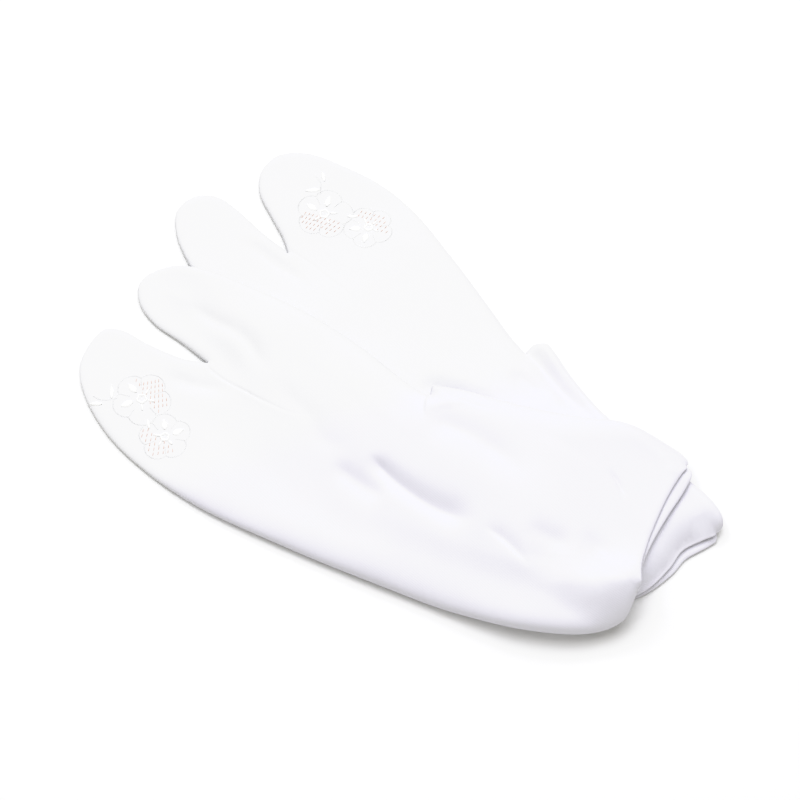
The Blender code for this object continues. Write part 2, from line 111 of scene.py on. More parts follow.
leftSock = dict(
    name="leftSockCloth",
    splitEnd=(-74.05, 7.3),
    turn=-25.2,
    bigToeSide=1,
    # along, across, 1 where the edge turns sharply
    edge=(
        (235.3, 33.4, 1), (234.9, 36.8, 0), (231.4, 39.4, 0), (224.0, 40.4, 0), (214.0, 40.3, 0),
        (204.0, 38.0, 0), (192.0, 34.2, 0), (176.0, 30.2, 0), (156.0, 27.0, 0), (143.0, 25.2, 0),
        (133.0, 23.0, 1), (134.3, 18.3, 1), (128.6, 19.0, 0), (121.0, 21.4, 0), (112.0, 24.4, 0),
        (100.0, 28.2, 0), (84.0, 32.0, 0), (54.0, 36.2, 0), (30.0, 36.8, 0), (14.0, 33.6, 0),
        (6.4, 27.4, 0), (4.8, 20.0, 0), (9.6, 12.4, 0), (18.6, 7.2, 0), (32.0, 4.2, 0),
        (46.0, 0.4, 1), (37.0, -2.0, 0), (22.0, -2.2, 0), (8.0, -1.0, 0), (2.0, -3.4, 0),
        (0.0, -10.4, 0), (1.0, -22.0, 0), (8.4, -32.4, 0), (25.2, -44.4, 0), (46.0, -52.2, 0),
        (72.0, -57.2, 0), (110.0, -58.4, 0), (150.0, -57.6, 0), (182.0, -56.0, 0),
        (206.6, -52.3, 0), (227.4, -44.0, 0), (237.8, -33.8, 0), (238.6, -23.4, 1),
    ),
    mouth=((235.0, -14.6), (233.4, -4.6), (232.8, 6.0), (232.8, 16.0), (233.6, 25.0)),
    # the cuff's lower layer sticks out and lifts off the other sock, and its upper layer dips
    lip=dict(out=5.4, outFrom=1.1, outFade=0.3, lift=0.7, liftReach=14.0,
             dip=6.1, dipFrom=0.25, dipReach=48.0, curl=0.0),
    # the heel's pocket stands up round and full, and drops a little towards the cuff
    fuller=dict(height=4.9, rise=5.2, reach=15.0, along=(165.0, 210.0), across=(0.0, -18.0), round=0.95,
                drop=(216.0, 242.0), dropShare=0.35),
    # Creases and folds: a line on the sock, height (below zero for a trough), half widths on
    # the big toe's side and on the other side at both ends, and how soon each end fades
    creases=(
        # deepest crease, sharp along its lower side, widening towards the ankle
        dict(line=((123.6, -14.2), (133.6, -18.6), (142.0, -21.6), (153.0, -24.0), (164.4, -24.4),
                   (175.0, -22.6)),
             height=-3.0, above=(2.0, 5.8), below=(2.8, 5.2), ends=(0.16, 0.26), fine=True),
        dict(line=((111.0, -21.4), (120.0, -24.4), (128.6, -26.2), (139.0, -27.4)),
             height=-1.9, above=(2.8, 4.6), below=(3.8, 5.0), ends=(0.3, 0.25), fine=False),
        # big toe's trough, bending down beside the seam
        dict(line=((23.0, 22.6), (34.1, 18.8), (41.6, 17.3), (50.5, 16.0), (58.0, 13.0), (65.5, 7.6),
                   (74.0, 2.4)),
             height=-1.9, above=(3.4, 3.4), below=(3.2, 3.2), ends=(0.3, 0.3), fine=False),
        dict(line=((74.0, 2.4), (85.0, -3.6), (95.8, -7.9), (104.0, -14.5), (118.0, -14.5)),
             height=-0.8, above=(4.0, 4.0), below=(4.0, 4.0), ends=(0.3, 0.3), fine=False),
        # under the split, on the four toes' side
        dict(line=((31.0, -12.2), (46.5, -11.0), (54.0, -9.4), (62.0, -11.6)),
             height=-1.6, above=(2.6, 2.8), below=(3.2, 3.6), ends=(0.35, 0.35), fine=False),
        # end of the folded-over ankle, a step up towards the heel
        dict(line=((134.0, 18.8), (134.5, 15.6), (135.4, 12.4), (136.8, 9.0), (139.4, 6.4)),
             height=1.5, above=(9.0, 9.0), below=(0.45, 0.45), ends=(0.05, 0.6), fine=True),
        # trough along the folded-over ankle
        dict(line=((137.0, 6.4), (147.0, 6.8), (158.0, 6.6), (172.0, 3.6), (186.0, -1.6)),
             height=-2.3, above=(5.0, 5.0), below=(6.5, 6.5), ends=(0.2, 0.45), fine=False),
        dict(line=((142.0, 18.6), (150.0, 18.9), (162.0, 19.8)),
             height=-0.3, above=(0.8, 0.8), below=(0.8, 0.8), ends=(0.3, 0.4), fine=True),
        # two lines running down to the heel, and a soft dent between them
        dict(line=((175.6, -24.2), (187.1, -27.1), (199.4, -32.6)),
             height=-1.3, above=(2.8, 2.8), below=(1.4, 1.4), ends=(0.35, 0.35), fine=True),
        dict(line=((190.0, -18.4), (202.0, -19.0), (212.0, -18.0)),
             height=-1.5, above=(4.0, 4.0), below=(4.2, 4.2), ends=(0.4, 0.4), fine=False),
        dict(line=((209.6, -10.2), (217.3, -13.6), (223.4, -16.6), (229.1, -18.5), (239.0, -20.4)),
             height=-2.2, above=(3.2, 4.2), below=(6.0, 7.0), ends=(0.4, 0.1), fine=False),
        dict(line=((209.0, 17.4), (215.0, 13.3), (220.6, 8.2)),
             height=-0.8, above=(0.9, 0.9), below=(0.9, 0.9), ends=(0.4, 0.4), fine=True),
        dict(line=((194.0, -25.0), (204.0, -28.0), (214.0, -28.0)),
             height=-1.1, above=(8.0, 8.0), below=(8.0, 8.0), ends=(0.4, 0.4), fine=False),
        dict(line=((168.0, 19.8), (188.0, 18.4), (208.0, 15.4)),
             height=-0.3, above=(3.0, 3.0), below=(3.0, 3.0), ends=(0.4, 0.4), fine=False),
    ),
    # centre seam from the split up the instep to the shin fold
    seam=((46.0, -0.4), (48.2, -2.1), (54.8, -4.3), (61.6, -6.0), (72.0, -8.1), (80.8, -9.1), (88.4, -9.2),
          (97.0, -6.6), (108.0, -2.0), (122.0, 5.6)),
    seamCut=dict(depth=0.5, width=0.5, lip=0.16, pucker=0.05, pitch=2.6, fade=(58.0, 98.0), rest=0.03),
)

rightSock = dict(
    name="rightSockCloth",
    splitEnd=(-42.9, 58.9),
    turn=-55.7,
    bigToeSide=-1,
    edge=(
        (243.4, -65.4, 1), (243.0, -68.4, 0), (240.0, -70.6, 0), (233.0, -71.2, 0), (224.0, -69.8, 0),
        (204.0, -64.4, 0), (178.0, -59.2, 0), (158.0, -58.8, 0), (146.4, -59.8, 0), (141.2, -59.4, 0),
        (138.2, -56.0, 0), (139.4, -50.8, 1), (132.0, -50.4, 0), (112.0, -51.4, 0),
        (84.0, -52.6, 0), (60.0, -52.6, 0), (42.0, -49.4, 0), (24.0, -41.4, 0), (10.0, -32.2, 0),
        (4.4, -22.0, 0), (6.8, -12.4, 0), (15.0, -5.8, 0), (28.0, -3.2, 0), (39.0, -1.6, 0),
        (46.0, 0.4, 1), (33.0, 3.8, 0), (17.6, 6.4, 0), (7.0, 10.0, 0), (2.0, 17.4, 0),
        (3.6, 26.6, 0), (12.0, 32.6, 0), (26.0, 36.2, 0), (48.0, 37.2, 0), (78.0, 33.2, 0),
        (108.0, 24.0, 0), (150.0, 14.0, 0), (196.0, 1.0, 0), (226.0, -8.0, 0), (240.0, -14.0, 0),
        (245.0, -20.0, 1),
    ),
    mouth=((246.0, -30.0), (243.8, -42.0), (240.8, -50.4), (241.8, -59.6)),
    lip=dict(out=3.0, outFrom=0.8, outFade=0.3, lift=0.1, liftReach=14.0,
             dip=6.6, dipFrom=0.1, dipReach=13.0, curl=2.6),
    # the shin fold's end stands up a little
    fuller=dict(height=0.9, rise=1.2, reach=6.0, along=(137.0, 143.0), across=(-44.0, -56.0), round=0.4,
                drop=(216.0, 242.0), dropShare=0.0),
    creases=(
        # big toe's trough
        dict(line=((27.0, 15.8), (37.6, 10.6), (48.5, 7.6), (58.1, 4.6), (68.6, 1.8)),
             height=-1.7, above=(3.2, 3.2), below=(2.8, 2.8), ends=(0.35, 0.35), fine=False),
        # inside the shin fold's roll
        dict(line=((138.4, -50.6), (144.0, -51.2), (154.0, -51.2), (164.0, -51.4), (174.0, -52.6),
                   (186.0, -54.6)),
             height=-3.6, above=(3.8, 3.8), below=(4.2, 4.2), ends=(0.1, 0.5), fine=True),
        dict(line=((142.6, -39.6), (154.2, -42.1), (165.0, -46.0)),
             height=-1.9, above=(3.8, 3.8), below=(4.0, 4.0), ends=(0.35, 0.45), fine=False),
        # where the other sock's ankle presses on it
        dict(line=((126.4, -5.4), (130.8, -9.2), (136.6, -14.0), (144.0, -19.2), (151.6, -25.0),
                   (159.4, -31.2)),
             height=-3.8, above=(4.0, 3.0), below=(4.6, 3.8), ends=(0.3, 0.6), fine=False),
    ),
    seam=((46.0, -0.4), (56.0, -3.6), (72.0, -6.6), (94.0, -11.0), (112.0, -17.0)),
    seamCut=dict(depth=0.22, width=0.5, lip=0.06, pucker=0.03, pitch=2.6, fade=(52.0, 90.0), rest=0.2),
)


def curvePoint(p0, p1, p2, p3, t):
    # on a curve between p1 and p2 that doesn't overshoot at uneven spacings
    knots = [0.0]
    for a, b in ((p0, p1), (p1, p2), (p2, p3)):
        knots.append(knots[-1] + max(math.dist(a, b), 1e-6) ** 0.5)
    k0, k1, k2, k3 = knots
    k = k1 + (k2 - k1) * t
    a1 = p0 * (k1 - k) / (k1 - k0) + p1 * (k - k0) / (k1 - k0)
    a2 = p1 * (k2 - k) / (k2 - k1) + p2 * (k - k1) / (k2 - k1)
    a3 = p2 * (k3 - k) / (k3 - k2) + p3 * (k - k2) / (k3 - k2)
    b1 = a1 * (k2 - k) / (k2 - k0) + a2 * (k - k0) / (k2 - k0)
    b2 = a2 * (k3 - k) / (k3 - k1) + a3 * (k - k1) / (k3 - k1)
    return b1 * (k2 - k) / (k2 - k1) + b2 * (k - k1) / (k2 - k1)


def smoothLine(points, fine=0.25):
    # closely spaced points on one smooth curve through the given ones
    points = [np.array(p, float) for p in points]
    row = [2 * points[0] - points[1], *points, 2 * points[-1] - points[-2]]
    line = [points[0]]
    for i in range(1, len(row) - 2):
        steps = max(2, math.ceil(math.dist(row[i], row[i + 1]) / fine))
        for s in range(1, steps + 1):
            line.append(curvePoint(row[i - 1], row[i], row[i + 1], row[i + 2], s / steps))
    return np.array(line)


def spaced(line, shares):
    # the points at these shares of a line's length
    steps = np.hypot(*np.diff(line, axis=0).T)
    run = np.concatenate([[0.0], np.cumsum(steps)])
    want = np.asarray(shares) * run[-1]
    return np.c_[np.interp(want, run, line[:, 0]), np.interp(want, run, line[:, 1])]


def evenly(line, step):
    count = max(2, round(np.hypot(*np.diff(line, axis=0).T).sum() / step))
    return spaced(line, np.linspace(0.0, 1.0, count + 1))


def draftAxes(sock):
    # directions of "along" and "across" on the floor
    angle = math.radians(sock["turn"])
    along = np.array((math.cos(angle), math.sin(angle)))
    return along, np.array((-along[1], along[0])) * sock["bigToeSide"]


def onFloor(sock, points):
    along, across = draftAxes(sock)
    moved = np.asarray(points, float) - np.array((layOut["splitDepth"], 0.0))
    return np.array(sock["splitEnd"]) + moved[:, :1] * along + moved[:, 1:] * across


def inDraft(sock, points):
    along, across = draftAxes(sock)
    moved = points - np.array(sock["splitEnd"])
    return np.c_[moved @ along + layOut["splitDepth"], moved @ across]


def edgeLine(sock, step):
    # the side fold in plan, from the cuff's front corner round the toes to its back corner
    rows = sock["edge"]
    corners = [i for i, row in enumerate(rows) if row[2]]
    line = [np.array([rows[0][:2]])]
    for a, b in zip(corners[:-1], corners[1:]):
        line.append(evenly(smoothLine([row[:2] for row in rows[a:b + 1]]), step)[1:])
    return onFloor(sock, np.concatenate(line))


def mouthLine(sock):
    rows = sock["edge"]
    return onFloor(sock, smoothLine([rows[-1][:2], *sock["mouth"], rows[0][:2]]))


def distanceTo(line, points, part=3000):
    # in parts, to save memory
    a = line[:-1]
    ab = line[1:] - a
    length = np.maximum((ab ** 2).sum(1), 1e-12)
    result = []
    for i in range(0, len(points), part):
        rel = points[i:i + part, None, :] - a[None, :, :]
        share = np.clip((rel * ab).sum(2) / length, 0.0, 1.0)
        gap = rel - share[:, :, None] * ab
        result.append(np.sqrt((gap ** 2).sum(2)).min(1))
    return np.concatenate(result) if result else np.zeros(0)


def isInside(loop, points):
    a = loop
    b = np.roll(loop, -1, axis=0)
    x = points[:, :1]
    y = points[:, 1:]
    spans = (a[:, 1] > y) != (b[:, 1] > y)
    rise = np.where(np.abs(b[:, 1] - a[:, 1]) < 1e-9, 1e-9, b[:, 1] - a[:, 1])
    cross = a[:, 0] + (y - a[:, 1]) * (b[:, 0] - a[:, 0]) / rise
    return (spans & (x < cross)).sum(1) % 2 == 1


def smoothShare(value):
    t = np.clip(value, 0.0, 1.0)
    return t * t * (3.0 - 2.0 * t)


def between(values, limits):
    # 0 before the first limit and 1 after the second
    return smoothShare((values - limits[0]) / (limits[1] - limits[0]))


def rounded(distance, width):
    # a quarter circle's rise over this width
    t = 1.0 - np.clip(distance / width, 0.0, 1.0)
    return np.sqrt(1.0 - t * t)


def profileAt(sock, points, name):
    # thickness or fold height by place along the sock
    along = inDraft(sock, points)[:, 0]
    rows = layOut[name]
    result = np.full(len(points), rows[0][1])
    for (a, low), (b, high) in zip(rows[:-1], rows[1:]):
        result += (high - low) * between(along, (a, b))
    return result


def nearLine(line, points):
    # distance to a line, the side of it and the share of its run
    start = line[:-1]
    step = line[1:] - start
    length = np.hypot(*step.T)
    rel = points[:, None, :] - start
    share = np.clip((rel * step).sum(2) / length ** 2, 0.0, 1.0)
    gap = rel - share[:, :, None] * step
    away = np.hypot(gap[..., 0], gap[..., 1])
    best = away.argmin(1)
    row = np.arange(len(points))
    side = np.sign(step[best, 0] * rel[row, best, 1] - step[best, 1] * rel[row, best, 0])
    run = np.concatenate([[0.0], np.cumsum(length)])[best] + share[row, best] * length[best]
    return away[row, best], side, run / length.sum()


def creaseHeight(sock, places):
    total = np.zeros(len(places))
    for crease in sock["creases"]:
        line = evenly(smoothLine(crease["line"]), meshSteps["line"])
        reach = layOut["creaseReach"] * max(crease["above"] + crease["below"])
        pick = ((places > line.min(0) - reach) & (places < line.max(0) + reach)).all(1)
        if not pick.any():
            continue
        away, side, run = nearLine(line, places[pick])
        above = crease["above"][0] + (crease["above"][1] - crease["above"][0]) * run
        below = crease["below"][0] + (crease["below"][1] - crease["below"][0]) * run
        ends = smoothShare(run / crease["ends"][0]) * smoothShare((1.0 - run) / crease["ends"][1])
        halfWidth = np.where(side > 0.0, above, below)
        total[pick] += crease["height"] * ends * np.exp(-(away / halfWidth) ** layOut["creaseShape"])
    return total


# Unevenness of soft cloth: wave length, turn in degrees and height of each wave, and how the waves wander
softWaves = dict(
    waves=((34.0, 20.0, 0.10), (21.0, 75.0, 0.06), (47.0, -35.0, 0.12), (13.0, 48.0, 0.03)),
    bend=0.35,
    bendLength=0.31,
    shift=1.7,
)


def waveHeight(places):
    total = np.zeros(len(places))
    for i, (length, turn, height) in enumerate(softWaves["waves"]):
        way = math.radians(turn)
        phase = (places[:, 0] * math.cos(way) + places[:, 1] * math.sin(way)) / length
        sideways = places[:, 0] * math.sin(way) - places[:, 1] * math.cos(way)
        bend = softWaves["bend"] * np.sin(sideways / (softWaves["bendLength"] * length) + i)
        total += height * np.sin(2.0 * math.pi * phase + bend + softWaves["shift"] * i)
    return total


# What both centre seams share; "start" is where they reach their depth, in from the side fold
seamShape = dict(reach=6.0, lipPlace=1.3, lipWidth=0.7, puckerWidth=2.0, start=3.0)


def seamHeight(sock, places):
    # a sewn line: a narrow groove with soft lips and small puckers, flatter up the instep
    cut = sock["seamCut"]
    total = np.zeros(len(places))
    line = evenly(smoothLine(sock["seam"]), meshSteps["line"])
    reach = seamShape["reach"]
    pick = ((places > line.min(0) - reach) & (places < line.max(0) + reach)).all(1)
    away, side, run = nearLine(line, places[pick])
    along = places[pick, 0]
    fade = 1.0 - (1.0 - cut["rest"]) * between(along, cut["fade"])
    lip = np.exp(-((away - seamShape["lipPlace"]) / seamShape["lipWidth"]) ** 2) * (side < 0.0)
    pucker = np.sin(along * 2.0 * math.pi / cut["pitch"]) * np.exp(-(away / seamShape["puckerWidth"]) ** 2)
    height = -cut["depth"] * np.exp(-(away / cut["width"]) ** 2)
    height += cut["lip"] * lip
    height += cut["pucker"] * pucker
    total[pick] = height * fade
    return total


class Form:
    # the heights of one laid sock's surfaces, by place
    def __init__(self, sock, below=None):
        self.sock = sock
        self.below = below
        self.fold = edgeLine(sock, meshSteps["edge"])
        self.mouth = mouthLine(sock)
        self.loop = np.concatenate([self.fold, self.mouth[1:-1]])
        lip = sock["lip"]
        share = np.linspace(0.0, 1.0, len(self.mouth))
        out = smoothShare(share / lip["outFrom"]) * rounded(1.0 - share, lip["outFade"])
        self.lowMouth = self.mouth + lip["out"] * out[:, None] * draftAxes(sock)[0]

    def base(self, points, upper):
        # what the sock lies on: the floor, or the other sock with a step down beside it
        if self.below is None:
            return np.zeros(len(points))
        loop = self.below.loop
        away = distanceTo(np.concatenate([loop, loop[:1]])[::meshSteps["skip"]["below"]], points)
        depth = np.where(isInside(loop, points), away, -away)
        full = self.below.thickness(points) + layOut["layerGap"]
        lift = []
        for inward, outward in (layOut["underDrape"], layOut["topDrape"]):
            lift.append(full * between(depth, (-outward, inward)))
        if not upper:
            return lift[0]
        free = between(distanceTo(self.fold, points), layOut["freeEdge"])
        return lift[0] + (lift[1] - lift[0]) * free

    def cloth(self, points):
        # thickness of the wall, with the turned edge
        inHem = layOut["hemWidth"] - distanceTo(self.mouth[::meshSteps["skip"]["hem"]], points)
        return layOut["cloth"] + layOut["hemExtra"] * smoothShare(inHem / layOut["hemStep"])

    def lipShare(self, points, reach):
        # 1 at the cuff's edge and 0 at this reach from it, and less towards the front
        away, _, run = nearLine(self.mouth[::meshSteps["skip"]["lip"]], points)
        lip = self.sock["lip"]
        soft = smoothShare(1.0 - away / lip[reach])
        if reach == "dipReach" and lip["curl"]:
            soft = np.clip(1.0 - away / lip[reach], 0.0, 1.0) ** lip["curl"]
        return soft * smoothShare(run / lip["dipFrom"])

    def fullerShare(self, places):
        # 1 in the fuller place and 0 away from it
        fuller = self.sock["fuller"]
        share = between(places[:, 0], fuller["along"])
        share *= 1.0 - fuller["dropShare"] * between(places[:, 0], fuller["drop"])
        return share * between(places[:, 1], fuller["across"])

    def thickness(self, points):
        # with the fuller place, without the cuff's dip and the creases
        fuller = self.sock["fuller"]
        near = np.exp(-(distanceTo(self.fold, points) / fuller["reach"]) ** 2)
        extra = fuller["height"] * self.fullerShare(inDraft(self.sock, points)) * near
        return profileAt(self.sock, points, "thickness") + extra

    def thinShare(self, places):
        # 1 where the side fold is thinner
        thin = layOut["thinFold"]
        return between(places[:, 1], thin["across"]) * between(places[:, 0], thin["along"])

    def surface(self, points, upper, inner):
        # height of the top or sole layer's outer or inner side
        inset = self.cloth(points) if inner else np.zeros(len(points))
        start = layOut["cloth"] if inner else 0.0
        distance = np.maximum(distanceTo(self.fold, points) - start, 0.0)
        places = inDraft(self.sock, points)
        fuller = self.sock["fuller"]
        fullness = self.fullerShare(places)
        full = self.thickness(points) - self.sock["lip"]["dip"] * self.lipShare(points, "dipReach")
        thinner = 1.0 - layOut["thinFold"]["share"] * self.thinShare(places)
        fold = profileAt(self.sock, points, "foldHeight") * thinner + fuller["rise"] * fullness
        highest = (layOut["foldShare"] + layOut["fullerFoldShare"] * fullness) * full
        fold = np.clip(fold, layOut["cloth"] + layOut["foldLeast"], highest)
        height = self.base(points, upper) + fold
        if not upper:
            sink = rounded(distance, fold - start)
            lift = self.sock["lip"]["lift"] * self.lipShare(points, "liftReach")
            return height - (fold - inset) * sink + lift * rounded(distance, layOut["liftWidth"])
        width = full * (layOut["roundShare"] + (fuller["round"] - layOut["roundShare"]) * fullness)
        swell = rounded(distance, width - start)
        height += (full - fold - inset) * swell
        height += (creaseHeight(self.sock, places) + waveHeight(places)) * swell
        if not inner:
            height += seamHeight(self.sock, places) * np.minimum(distance / seamShape["start"], 1.0)
        return height


# How a line beside the side fold is drawn: sharp inner corners get a fan of points, and a point stays
# only where it keeps at least this share of its distance
insetSetup = dict(step=0.8, sharpTurn=-0.5, fan=13, least=0.985)


def insetLine(form, inset):
    # the side fold's line, moved in
    line = edgeLine(form.sock, insetSetup["step"])
    way = np.gradient(line, axis=0)
    way /= np.hypot(*way.T)[:, None]
    normals = np.c_[-way[:, 1], way[:, 0]]
    moved = []
    for i, point in enumerate(line):
        fan = [normals[i]]
        if 0 < i < len(line) - 1:
            before = line[i] - line[i - 1]
            after = line[i + 1] - line[i]
            turn = math.atan2(before[0] * after[1] - before[1] * after[0], before @ after)
            if turn < insetSetup["sharpTurn"]:
                start = math.atan2(before[0], -before[1])
                fan = [np.array((math.cos(start + turn * s), math.sin(start + turn * s)))
                       for s in np.linspace(0.0, 1.0, insetSetup["fan"])]
        moved.extend(point + inset * normal for normal in fan)
    moved = np.array(moved)
    keep = distanceTo(line, moved) > inset * insetSetup["least"]
    keep &= isInside(form.loop, moved)
    return moved[keep]


def clearOf(points, others, gap):
    # the points that are further than gap from all the others
    cells = {}
    for x, y in others:
        cells.setdefault((int(x // gap), int(y // gap)), []).append((x, y))
    keep = []
    for x, y in points:
        column, line = int(x // gap), int(y // gap)
        near = [p for i in (-1, 0, 1) for j in (-1, 0, 1) for p in cells.get((column + i, line + j), ())]
        keep.append(all((x - a) ** 2 + (y - b) ** 2 > gap * gap for a, b in near))
    return points[np.array(keep)]


# Closer points beside the seam and the sharper creases: spacing along, distances to both sides, clear gaps
fineSteps = dict(along=0.9, seam=(0.0, 0.35, 0.75, 1.3, 2.0), crease=(0.0, 0.45, 0.95, 1.7, 2.6),
                 apart=0.4, fromRim=1.0, fromGrid=0.8)


def fineRows(form, rim):
    border = np.concatenate([rim, rim[:1]])
    points = np.zeros((0, 2))
    lines = [(form.sock["seam"], fineSteps["seam"])]
    lines += [(crease["line"], fineSteps["crease"]) for crease in form.sock["creases"] if crease["fine"]]
    for rough, offsets in lines:
        line = onFloor(form.sock, evenly(smoothLine(rough), fineSteps["along"]))
        way = np.gradient(line, axis=0)
        way /= np.hypot(*way.T)[:, None]
        normal = np.c_[-way[:, 1], way[:, 0]]
        rows = [line + side * off * normal for off in offsets for side in ((1, -1) if off else (1,))]
        points = np.concatenate([points, clearOf(np.concatenate(rows), points, fineSteps["apart"])])
    keep = isInside(rim, points)
    keep &= distanceTo(border, points) > fineSteps["fromRim"]
    return points[keep]


# How far points stay from the rim, the fold and each other, as shares of their own spacing
clearShares = dict(rowRim=0.5, rowRimMost=0.4, rowFold=0.75, gridFold=0.45, gridRim=0.5)


def planPoints(form, rim, inset, width, step, spacing, rows):
    # rows of points round the fold, and a grid of triangles between them
    border = np.concatenate([rim, rim[:1]])
    points = []
    for angle in rows:
        row = width * (1.0 - math.cos(math.radians(angle)))
        line = evenly(insetLine(form, inset + row), spacing)
        clear = isInside(rim, line)
        rimGap = min(clearShares["rowRim"] * row, clearShares["rowRimMost"] * spacing)
        clear &= distanceTo(border, line) > rimGap
        clear &= distanceTo(form.fold, line) > inset + clearShares["rowFold"] * row
        points += list(line[clear])
    low = rim.min(0)
    high = rim.max(0)
    rise = step * math.sqrt(3) / 2
    grid = np.array([(low[0] + (i + 0.5 * (j % 2)) * step, low[1] + j * rise)
                     for j in range(int((high[1] - low[1]) / rise) + 2)
                     for i in range(int((high[0] - low[0]) / step) + 2)])
    keep = isInside(rim, grid)
    keep &= distanceTo(form.fold, grid) > inset + width + clearShares["gridFold"] * step
    keep &= distanceTo(border, grid) > clearShares["gridRim"] * step
    return np.array(points + list(grid[keep]))


class Skin:
    # the points and faces of one closed cloth
    def __init__(self):
        self.points = []
        self.faces = []

    def add(self, plan, heights):
        first = len(self.points)
        self.points += [(x, y, z) for (x, y), z in zip(plan, heights)]
        return list(range(first, len(self.points)))

    def sheet(self, form, rimIds, inset, upper):
        # one side of one layer, filled in from its rim
        rim = np.array([self.points[i][:2] for i in rimIds])
        width = meshSteps["topWidth" if upper else "soleWidth"] - inset
        if inset:
            step, spacing, rows = meshSteps["inside"], meshSteps["lining"], meshSteps["liningRows"]
        elif upper:
            step, spacing, rows = meshSteps["top"], meshSteps["edge"], meshSteps["topRows"]
        else:
            step, spacing, rows = meshSteps["sole"], meshSteps["edge"], meshSteps["soleRows"]
        plan = planPoints(form, rim, inset, width, step, spacing, rows)
        if upper and not inset:
            extra = fineRows(form, rim)
            plan = np.concatenate([clearOf(plan, extra, fineSteps["fromGrid"]), extra])
        ids = rimIds + self.add(plan, form.surface(plan, upper, inset > 0.0))
        flat = [tuple(p) for p in np.concatenate([rim, plan])]
        edges = [(i, (i + 1) % len(rimIds)) for i in range(len(rimIds))]
        _, _, faces, madeFrom, _, _ = delaunay_2d_cdt(flat, edges, [], 1, 1e-7)
        outward = upper != (inset > 0.0)
        for face in faces:
            row = [ids[madeFrom[i][0]] for i in face]
            self.faces.append(row if outward else row[::-1])


def addShell(skin, form, inset):
    # the outer or inner side of the whole sock, and the rims of its open cuff
    inner = inset > 0.0
    line = evenly(insetLine(form, inset), meshSteps["lining"]) if inner else form.fold
    run = np.hypot(*np.diff(form.mouth, axis=0).T).sum()
    shares = (1.0 - np.cos(np.linspace(0.0, math.pi, meshSteps["mouth"] + 2))) / 2.0
    shares = inset / run + (1.0 - 2.0 * inset / run) * shares
    cuff = spaced(form.mouth, shares)
    lowCuff = spaced(form.lowMouth, shares)[1:-1]
    if inner:
        line = np.concatenate([cuff[-1:], line[1:-1], cuff[:1]])
    foldIds = skin.add(line, form.surface(line, True, inner))
    cuff = cuff[1:-1]
    topIds = skin.add(cuff, form.surface(cuff, True, inner))
    lowIds = skin.add(lowCuff, form.surface(lowCuff, False, inner))
    skin.sheet(form, foldIds + topIds, inset, True)
    skin.sheet(form, foldIds + lowIds, inset, False)
    back, front = foldIds[-1:], foldIds[:1]
    return back + topIds + front, back + lowIds + front


hemEdge = dict(steps=8, bulge=1.1, endPoints=8.0)  # the bulge fades over so many points at each end


def addRim(skin, form, outer, inner, flip):
    # the cuff's turned edge, rounded from the outside to the inside
    out = onFloor(form.sock, np.array([(1.0, 0.0), (0.0, 0.0)]))
    outward = out[0] - out[1]
    rows = [outer]
    for k in range(1, hemEdge["steps"]):
        share = k / hemEdge["steps"]
        row = []
        for i, (a, b) in enumerate(zip(outer, inner)):
            fade = min(1.0, min(i, len(outer) - 1 - i) / hemEdge["endPoints"])
            bulge = hemEdge["bulge"] * math.sin(math.pi * share) * fade
            p = np.array(skin.points[a]) * (1.0 - share) + np.array(skin.points[b]) * share
            row.append(len(skin.points))
            skin.points.append((p[0] + outward[0] * bulge, p[1] + outward[1] * bulge, p[2]))
        rows.append(row)
    rows.append(inner)
    for low, high in zip(rows[:-1], rows[1:]):
        for i in range(len(low) - 1):
            row = [low[i], low[i + 1], high[i + 1], high[i]]
            skin.faces.append(row[::-1] if flip else row)


def meshPiece(name, points, faces, shift):
    data = bpy.data.meshes.new(name)
    data.from_pydata([((x - shift[0]) * mm, (y - shift[1]) * mm, z * mm) for x, y, z in points], [], faces)
    data.validate()
    data.shade_smooth()
    item = bpy.data.objects.new(name, data)
    bpy.context.scene.collection.objects.link(item)
    return item


def makeCloth(form, shift):
    skin = Skin()
    outerTop, outerLow = addShell(skin, form, 0.0)
    innerTop, innerLow = addShell(skin, form, layOut["cloth"])
    addRim(skin, form, outerTop, innerTop, True)
    addRim(skin, form, outerLow, innerLow, False)
    return meshPiece(form.sock["name"], skin.points, skin.faces, shift)


rightForm = Form(rightSock)
leftForm = Form(leftSock, below=rightForm)
outlines = np.concatenate([rightForm.loop, leftForm.loop])
shift = (outlines.min(0) + outlines.max(0)) / 2.0
rightCloth = makeCloth(rightForm, shift)
leftCloth = makeCloth(leftForm, shift)
print("cloth shells made", len(leftCloth.data.polygons), len(rightCloth.data.polygons))

# White stretch cloth, lilac towards the front sock's heel
clothFinish = dict(
    neutral=(0.764, 0.764, 0.781, 1.0),
    lilac=(0.754, 0.746, 0.806, 1.0),
    tintWay=(1.0, -3.2, 0.0),  # the tint grows this way, in metres from tintFrom to tintTo
    tintFrom=0.015,
    tintTo=0.085,
    tintPatch=0.08,  # how uneven its borders are
    patchScale=18.0,
    patchDetail=3.0,
    roughness=0.9,
    specular=0.25,
    sheen=0.15,
    sheenRoughness=0.5,
    walePitch=0.0007,
    waleBands=3.0,
    waleWander=1.5,
    waleShare=0.5,
    napSize=0.00025,
    napDetail=4.0,
    bump=0.00004,
    bumpStrength=0.6,
)


def newMaterial(name):
    material = bpy.data.materials.new(name)
    material.use_nodes = True
    nodes = material.node_tree.nodes
    return material, nodes, material.node_tree.links, nodes["Principled BSDF"]


def addNoise(nodes, links, place, scale, detail):
    noise = nodes.new("ShaderNodeTexNoise")
    noise.inputs["Scale"].default_value = scale
    noise.inputs["Detail"].default_value = detail
    links.new(place.outputs["Object"], noise.inputs["Vector"])
    return noise


